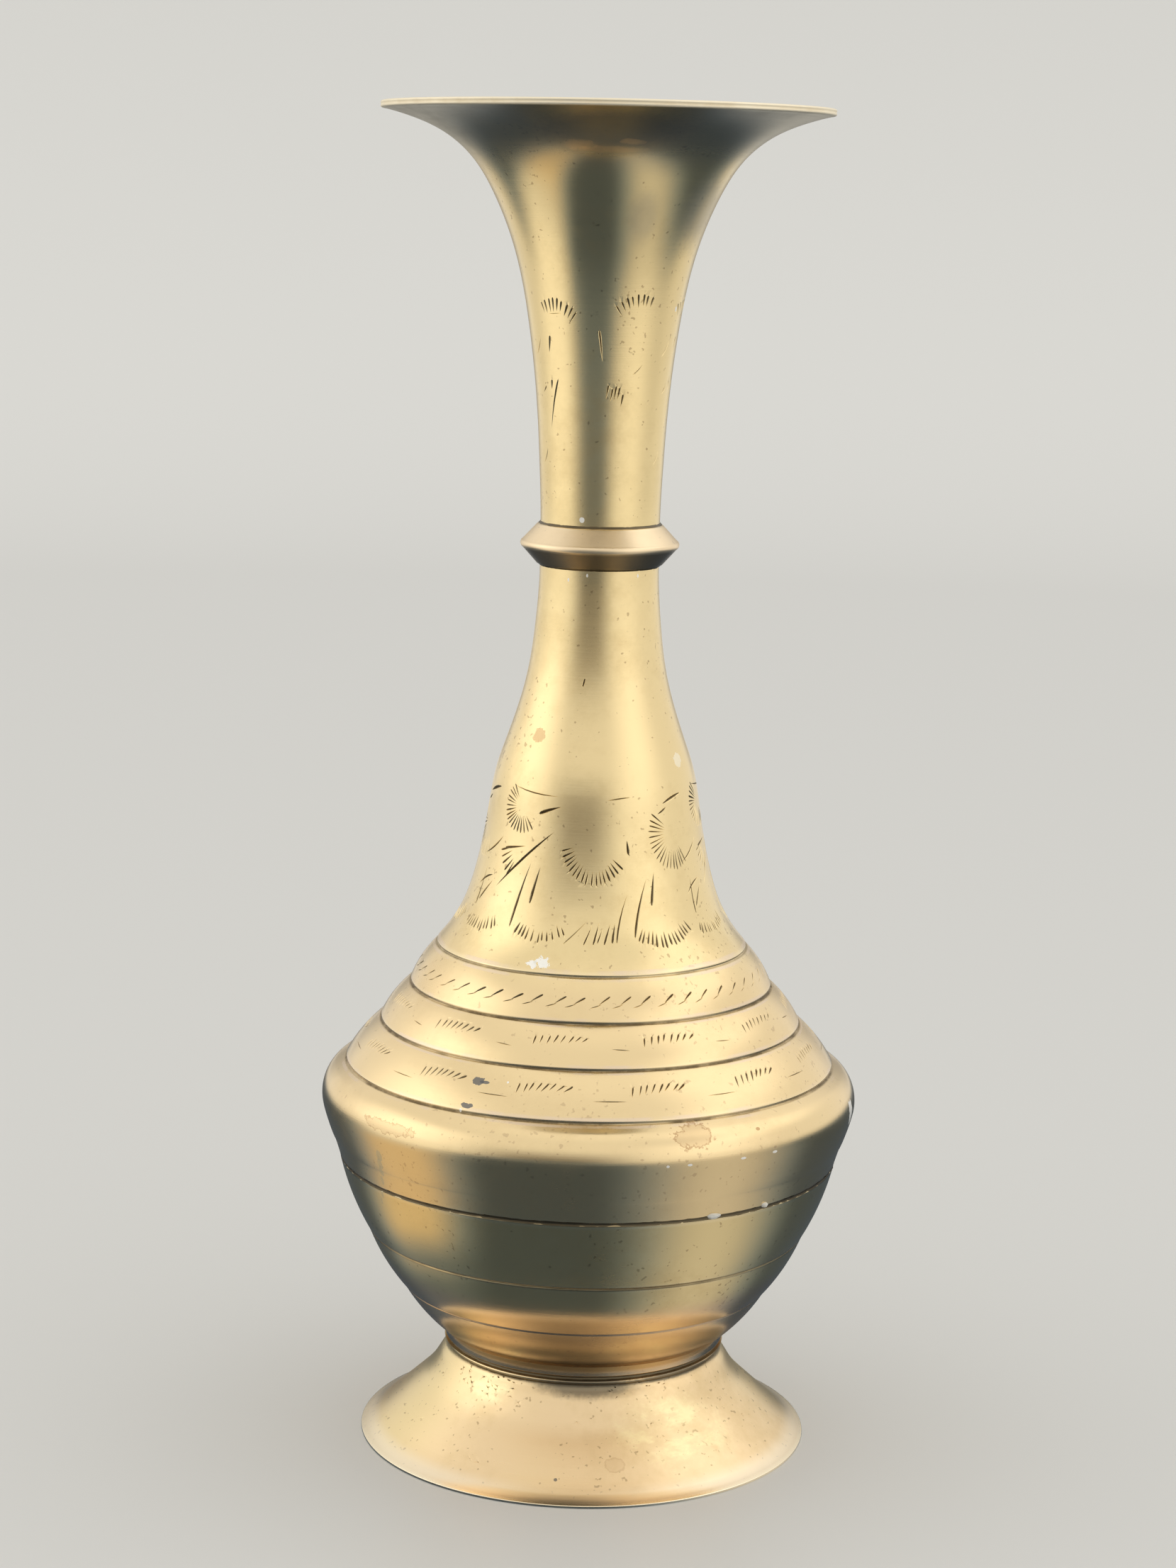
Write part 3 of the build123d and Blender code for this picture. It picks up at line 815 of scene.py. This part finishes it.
def neck_brass(outline):
    """Brass with painted shade on the flare, painted copper reflections there, a pale lip that is partly a
    painted highlight, and a few drops of chalk and a water mark.
    """
    f = Brass("brass_neck", 0.1, outline=outline)
    # painted shade over the top of the flare, from 193 mm up
    tarnish_and_shade = f.rise(193, 200, 0, 0.78)
    f.tint(tarnish_and_shade, FLARE_SHADE)
    f.roughen(tarnish_and_shade, 0.12)
    # more painted shade on the right of the flare and across the front of its top
    f.stain((62, 189.5), (6.5, 8, 8.5), FLARE_SHADE, 0.6, 0.08, 0.2, 0.7)
    f.stain((20, 188.5), (3.2, 7), FLARE_SHADE, 0.35, 0.05, 0.2, 0.7)
    f.stain((2, 200.5), (15, 12, 4.6), DARK_FLARE_SHADE, 0.8, 0.14, 0.2, 0.6)
    # painted copper reflections of the belly, seen in the flare
    for *place, across, up in ((-11, 198.3, 2.7, 0.8), (9, 198.8, 1.9, 0.45), (0, 197.7, 5.5, 0.5)):
        f.stain(place, (across, up), COPPER_REFLECTION, 0.7, -0.1, 0.9, 0.5, ring=True)
    # the lip is rougher and paler: partly worn brass, partly a painted highlight
    radius = f.vector("LENGTH", f.stretched(1, 1, 0))
    rim_radius = outline.points[:, 0].max()
    near_rim = f.span(radius, (rim_radius - 1.3) * MM, (rim_radius - 0.6) * MM)
    lip = f.times(f.rise(203.25, 203.5), near_rim)
    f.tint(f.times(lip, 0.9), PALE_LIP)
    f.roughen(lip, 0.25)
    f.chalk((-17.7, 143.9), (0.42, 0.45), 0.95, 0.25)
    f.chalk((64, 175), (0.3, 0.45), 0.9, 0.25)
    f.stain((-150, 166), (0.8, 1.1), DRY_WATER, 0.5, 0.15, 0.5, ring=True)
    return f.done()


def collar_brass():
    """Paler, duller brass with painted shade on its underside."""
    f = Brass("brass_collar", 0.9, 0.34)
    f.tint(0.5, COLLAR_BRASS)
    # painted shade on the lower face of the collar
    f.tint(f.times(f.rise(139.35, 138.8), 0.8), COLLAR_UNDERSIDE_SHADE)
    return f.done()


def shoulder_brass(outline):
    """Brass with ringed stains, water marks, chalky residue by the grooves and dark chips."""
    f = Brass("brass_shoulder", 0.2, outline=outline)
    f.tint(f.times(f.line(SEAM_HEIGHT, 0.42), 0.8), GRIME_AND_SHADE)
    f.tint(f.times(f.rise(82, 74), 0.45), f.mix(f.dirt_and_cut_shade, ROSE, GRIME_AND_SHADE))
    beside_groove = f.times(f.span(f.value("dirt"), 0.01, 0.12), f.span(f.value("dirt"), 0.6, 0.3))
    residue = f.times(beside_groove, f.span(f.noise(110, 3), 0.45, 0.6, 0, 0.6))
    f.tint(residue, RESIDUE)
    f.roughen(residue, 0.2)
    # on the bell
    f.stain((-41.3, 111.7), (1.2, 1.2), BROWN_MARK, 0.7, 0.1, 1.2, ring=True)
    f.stain((-41.3, 111.7), (1, 1), BROWN_MARK, 0.35, 0.1, 1.2)
    f.stain((59.8, 107.9), (1.1, 1.15), PALE_MARK, 0.8, 0.2, 1)
    for place in ((-11.5, 135.7), (-30.5, 134.9), (39.7, 135.6)):
        f.chalk(place, (0.16, 0.3), 0.9)
    # on the tiers
    f.chalk((-22.2, 79.3), (1, 0.62), 0.95, 2.2, 0.1)
    f.chalk((-18.8, 79.5), (1.25, 0.9), 0.95, 2.2, 0.1)
    for *chip, across, up, ragged in ((-27.7, 64, 0.95, 0.62, 1.4), (-25.8, 63.9, 0.8, 0.2, 0.5),
                                      (-28.5, 60.75, 1.15, 0.36, 1.6)):
        f.stain(chip, (across, up), GREY_MARK, 0.9, 0.2, ragged, 0.05)
    for place in ((-29.7, 60), (-20, 64.1)):
        f.chalk(place, (0.22, 0.3))
    # on the belly
    f.stain((22.5, 58), (3.3, 2.9, 2), BROWN_MARK, 0.78, 0.12, 1.1, ring=True)
    f.stain((38.1, 57.8), (0.4, 0.25), BROWN_MARK, 0.7, 0.1, 0.3)
    f.stain((-46, 56), (6, 5, 0.9), BROWN_MARK, 0.62, 0.12, 1.5, ring=True)
    for angle, across in ((16.3, 0.25), (21, 0.4), (33.3, 0.5), (41.6, 0.5)):
        f.chalk((angle, 54.2), (across, 0.2), 0.9, 0.3)
    for *drip, across in ((-49.4, 51, 0.75), (-49.9, 49.6, 0.62), (-50.5, 48.2, 0.52), (-51.3, 46.6, 0.4)):
        f.stain(drip, (across, 1.1), DRY_WATER, 0.7, 0.2, 0.4)
    f.chalk((76, 54.8), (1.3, 2.1), 0.95, 1.3)
    # at the back
    f.stain((150, 68.5), (1.9, 1.2), BROWN_MARK, 0.45, 0.1, 0.6, ring=True)
    f.stain((-128, 92), (1.4, 1.8), DRY_WATER, 0.5, 0.15, 0.5)
    f.stain((118, 57), (3.6, 0.9), BROWN_MARK, 0.45, 0.12, 0.7, ring=True)
    return f.done()


def bowl_brass(outline):
    """Brass darkened along the seam and the turned lines, with a coppery base, a darker bronze patch at the
    front and the end of a dried drip below the seam.
    """
    f = Brass("brass_bowl", 0.1, outline=outline)
    # darker along the seam and the turned lines
    for height, half, strength in ((SEAM_HEIGHT, 0.5, 0.8), (33.6, 0.4, 0.7), (24.7, 0.36, 0.15)):
        f.tint(f.times(f.line(height, half), f.span(f.broad, 0.38, 0.62, 0.35, 1), strength), GRIME_AND_SHADE)
    uneven_height = f.total(f.up(), f.times(f.broad, 2 * MM))
    f.tint(f.span(uneven_height, 32 * MM, 28.5 * MM, 0, 0.6), COPPERY_BASE)
    # a darker bronze patch low on the front of the bowl
    f.stain((-3, 24.5), (14, 9, 4.6), DARK_BRONZE_PATCH, 0.6, 0.05, 0.2, 0.8)
    for *drip, across in ((-52.6, 44.2, 0.36), (-53.6, 42.9, 0.28)):
        f.stain(drip, (across, 1), DRY_WATER, 0.7, 0.2, 0.4)
    f.stain((35.3, 45), (1.4, 0.5), GRIME_AND_SHADE, 0.9, 0.3, 0.6)
    f.stain((-145, 30), (2.4, 1.2), BROWN_MARK, 0.4, 0.1, 0.6, ring=True)
    return f.done()


def foot_brass(outline):
    """Rosy brass with painted yellow highlights in places, a painted highlight along its lowest edge, painted
    shade under the bowl and a few marks.
    """
    f = Brass("brass_foot", 0.9, 0.29, outline)
    # a painted highlight, paler towards the lowest edge of the foot
    f.tint(f.rise(2.6, 0.8, 0, 0.6), PALE_EDGE_HIGHLIGHT)
    # patchy painted yellow highlights on the right, the left and the back of the foot
    highlight_share = f.span(f.noise(150, 4, 0.7, f.stretched(1, 1, 3)), 0.4, 0.62, 0.15, 0.8)
    for *place, size in ((34, 7.5, (13, 10, 6)), (-38, 12, (5, 2.4)), (170, 8, (12, 9, 5))):
        f.stain(place, size, PAINTED_YELLOW_HIGHLIGHT, highlight_share, -0.03, 0.5, 0.6)
    # painted shade on the top of the foot, under the bowl
    f.stain((2, 14), (10.5, 6, 2.3), BOWL_SHADE, 0.85, 0.1, 0.3, 0.6)
    f.stain((42, 14.4), (11, 10, 0.85), BOWL_SHADE, 0.8, 0.1, 0.3, 0.5)
    f.stain((-7, 2.8), (0.3, 0.3), GREY_MARK, 0.8, 0.2, 0.4)
    f.stain((10, 4.5), (1.6, 1.1), BROWN_MARK, 0.3, 0.1, 0.6, ring=True)
    f.stain((-160, 7), (1.8, 1.2), BROWN_MARK, 0.35, 0.1, 0.6, ring=True)
    return f.done()


def braze_metal():
    """Dull filler, painted nearly black as a dark joint and as the shade in the gaps between the parts, with
    chalky flux left on it in places.
    """
    f = Brass("dull_braze", 0.2, 0.42)
    # nearly black: a dark joint, and painted shade in the gaps between the parts
    f.tint(0.9, FILLER_AND_GAP_SHADE)
    flux = f.math("MAXIMUM", f.span(f.noise(260, 3, 0.6), 0.7, 0.76), f.value("cut"))
    f.tint(f.times(flux, 0.9), CHALK)
    f.roughen(flux, 0.3)
    return f.done()


# ---- pieces

FILLERS = ("collar_braze_upper", "collar_braze_lower", "belly_seam_braze", "foot_braze")
# each lump is (angle, height, across, up)
SEAM_LUMPS = (28.9, 45.2, 2.3, 1.0), (42.9, 45.3, 1.2, 1.0), (-141, 45, 1.8, 0.8), (101, 45, 1.2, 0.7)
LUMP_OUT = 0.5  # how far a lump stands out


def finish_piece(piece, node, material):
    """Gives a piece its material, and puts it in the place of its CAD node."""
    piece.data.materials.append(material)
    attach(piece, "root")
    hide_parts(node)


def make_neck():
    outline = Outline("trumpet_neck", rounding=0.25)
    neck = Turned(outline)
    neck.engrave(150, 179, repeated(neck_motif))
    finish_piece(neck.build("trumpet_neck_engraved"), "trumpet_neck", neck_brass(outline))


def make_shoulder():
    outline = Outline("shoulder_shell")
    shoulder = Turned(outline)
    shoulder.engrave(117, 122.5, [Cut((-11.6, 119.2), (-10, 120.5), 0.42, 0, Cut.PIT)])
    shoulder.engrave(80.5, 105.5, repeated(bell_motif))
    shoulder.engrave(73.2, 77, upper_tier_cuts())
    shoulder.engrave(67.4, 71.4, middle_tier_cuts())
    shoulder.engrave(61.2, 65.3, lower_tier_cuts())
    finish_piece(shoulder.build("shoulder_engraved"), "shoulder_shell", shoulder_brass(outline))


def make_foot():
    outline = Outline("foot")
    foot = Turned(outline)
    foot.engrave(2.6, 14.5, foot_pits())
    finish_piece(foot.build("foot_turned"), "foot", foot_brass(outline))


def make_collar():
    collar = Turned(Outline("neck_collar", rounding=0.45))
    finish_piece(collar.build("neck_collar_turned"), "neck_collar", collar_brass())


def make_bowl():
    outline = Outline("bowl_shell")
    finish_piece(Turned(outline).build("bowl_turned"), "bowl_shell", bowl_brass(outline))


def make_fillers():
    """The uneven rings of filler; the one in the seam has lumps on it."""
    metal = braze_metal()
    for node in FILLERS:
        ring = Turned(Outline(node, step=0.3, rounding=0.05), uneven=0.1)
        if node == "belly_seam_braze":
            for lump in SEAM_LUMPS:
                ring.lump(*lump, LUMP_OUT)
        finish_piece(ring.build(node + "_ring"), node, metal)


# ---- stage, light and camera

PALE = {"Base Color": (0.66, 0.66, 0.65), "Roughness": 0.4}


def ring_sheet(name, profile, material):
    """A round sheet turned from a profile of (radius, height) points, in metres."""
    segments = 96
    angles = [2 * math.pi * k / segments for k in range(segments)]
    co = [(r * math.sin(angle), r * math.cos(angle), z) for r, z in profile for angle in angles]
    faces = []
    for low in range(0, len(co) - segments, segments):
        for k in range(segments):
            j = (k + 1) % segments
            faces.append((low + k, low + segments + k, low + segments + j, low + j))
    mesh = bpy.data.meshes.new(name)
    mesh.from_pydata(co, [], faces)
    mesh.materials.append(material)
    mesh.shade_smooth()
    stage = placed(name, mesh)
    return stage


class Surround(Finish):
    """Light as a pattern of directions from the vase, in degrees: 0 is to the front and + is to the right."""

    def bearing(self, vector):
        """Keeps the azimuth and the z of a direction."""
        x, y, self.z = self.axes(vector)
        self.azimuth = self.times(self.math("ARCTAN2", x, self.times(y, -1)), math.degrees(1))

    def lobe(self, middle, half, soft):
        """1 in a range of azimuths, falling to 0 across its soft edges."""
        away = self.gap(self.math("WRAP", self.total(self.azimuth, -middle), 180, -180), 0)
        return self.span(away, half - soft / 2, half + soft / 2, 1, 0)

    def tinted(self, strength, dim, bright):
        """Dim light has one colour, and bright light another."""
        return self.mix(self.span(strength, 0.08, 0.6), dim, bright)


class Sky(Surround):
    """The world's light."""

    def __init__(self):
        world = bpy.data.worlds.new("studio")
        bpy.context.scene.world = world
        world.use_nodes = True
        self.nodes, self.links = world.node_tree.nodes, world.node_tree.links
        self.bearing(self.node("TexCoord").outputs["Generated"])
        self.height = self.times(self.math("ARCSINE", self.z), math.degrees(1))

    def band(self, middle, half):
        """1 at an angle above the horizon, falling to 0 at half above and below it."""
        return self.span(self.gap(self.height, middle), half * 0.3, half, 1, 0)


def make_sky():
    """Soft light from all round, strongest high on the left and the right, with a dark side at the front."""
    s = Sky()
    left = s.times(s.lobe(-90, 26, 48), s.band(21, 30), 0.62)
    right = s.times(s.lobe(55, 22, 44), s.band(20, 28), 0.36)
    right_high = s.times(s.lobe(98, 34, 50), s.band(48, 30), 0.45)
    top = s.times(s.span(s.height, 50, 85), 0.12)
    front = s.times(s.lobe(-14, 27, 38), s.span(s.height, 32, -8), 0.86)
    back = s.times(s.lobe(180, 24, 24), s.span(s.height, 45, 8), 0.6)
    open_side = s.math("SUBTRACT", 1, s.math("MAXIMUM", front, back))
    strength = s.times(s.total(0.93, left, right, right_high, top), open_side)
    s.put(s.tinted(strength, (1.05, 0.97, 0.86), (1.0, 0.985, 0.94)), s.nodes["Background"].inputs[0])
    s.put(strength, s.nodes["Background"].inputs[1])


class Floor(Surround):
    """A pale floor that is seen in the brass as a dark, polished table top."""

    def __init__(self):
        super().__init__("pale_floor")
        self.fill(self.shader, PALE)
        self.bearing(self.place)
        self.away = self.math("DIVIDE", self.vector("LENGTH", self.place), MM)
        self.show(*self.reflected())

    def reflected(self):
        """The colour and the strength of the light that the brass gets from each part of the floor."""
        left, front = self.lobe(-80, 25, 34), self.lobe(-14, 30, 44)
        right, near_right = self.lobe(62, 32, 44), self.lobe(54, 26, 50)
        rest = self.math("MAXIMUM", self.math("SUBTRACT", 1, self.total(left, right, front)), 0)
        near_left = self.span(self.away, 45, 76, 0.08, 0.5)
        strength = self.total(
            0.09,
            self.times(left, self.total(near_left, self.span(self.away, 120, 420, 0, 0.52))),
            self.times(left, self.span(self.away, 550, 1000), 0.16),
            self.times(near_right, 0.54),
            self.times(right, self.span(self.away, 260, 720), 0.5),
            self.times(front, self.span(self.away, 220, 800), 0.16),
            self.times(rest, self.span(self.away, 260, 700), 0.72),
        )
        near = self.times(left, self.span(self.away, 260, 120))
        warm = self.mix(near, (1.0, 0.97, 0.90), (1.22, 0.98, 0.66))
        return self.tinted(strength, (0.75, 0.98, 1.25), warm), strength

    def show(self, colour, strength):
        """The camera sees the pale floor, and everything else sees the glow."""
        glow = self.node("Emission", colour, strength).outputs[0]
        seen = self.node("LightPath").outputs["Is Camera Ray"]
        both = self.node("MixShader", seen, glow, self.shader.outputs[0])
        self.put(both.outputs[0], self.nodes["Material Output"].inputs[0])
        self.material.cycles.emission_sampling = "NONE"


def make_stage():
    """A round floor, and a wall that curves up from it and is seen by the camera only."""
    middle, edge, wall_radius, steps, slow_start = 0.3, 1.2, 1.6, 30, 1.5
    ring_sheet("floor", [(0.0, 0.0), (middle, 0.0), (edge, 0.0)], Floor().material)
    wall = [(edge, 0.0)]
    for i in range(1, steps + 1):
        angle = math.pi / 2 * (i / steps) ** slow_start
        wall.append((edge + wall_radius * math.sin(angle), wall_radius * (1 - math.cos(angle))))
    finish = Finish("pale_wall")
    finish.fill(finish.shader, PALE)
    backdrop = ring_sheet("backdrop", wall, finish.material)
    backdrop.visible_glossy = backdrop.visible_diffuse = False
    backdrop.visible_shadow = backdrop.visible_transmission = False


def make_camera():
    """A close view from a little above, slightly rolled."""
    picture_height, focal_length = 36.0, 74.8156
    place, downward, rolled = (-0.00104, -0.4905, 0.1900), 10.09, 1.17
    camera = bpy.data.cameras.new("camera")
    camera.sensor_width = picture_height
    camera.lens = focal_length
    camera.clip_start = 0.01
    body = placed("camera", camera)
    body.location = place
    tilt = Matrix.Rotation(math.radians(90 - downward), 3, "X")
    roll = Matrix.Rotation(math.radians(rolled), 3, "Z")
    body.rotation_mode = "QUATERNION"
    body.rotation_quaternion = (tilt @ roll).to_quaternion()
    bpy.context.scene.camera = body


make_neck()
make_shoulder()
make_foot()
make_collar()
make_bowl()
make_fillers()
make_stage()
make_sky()
make_camera()
bpy.context.scene.view_settings.view_transform = "Standard"
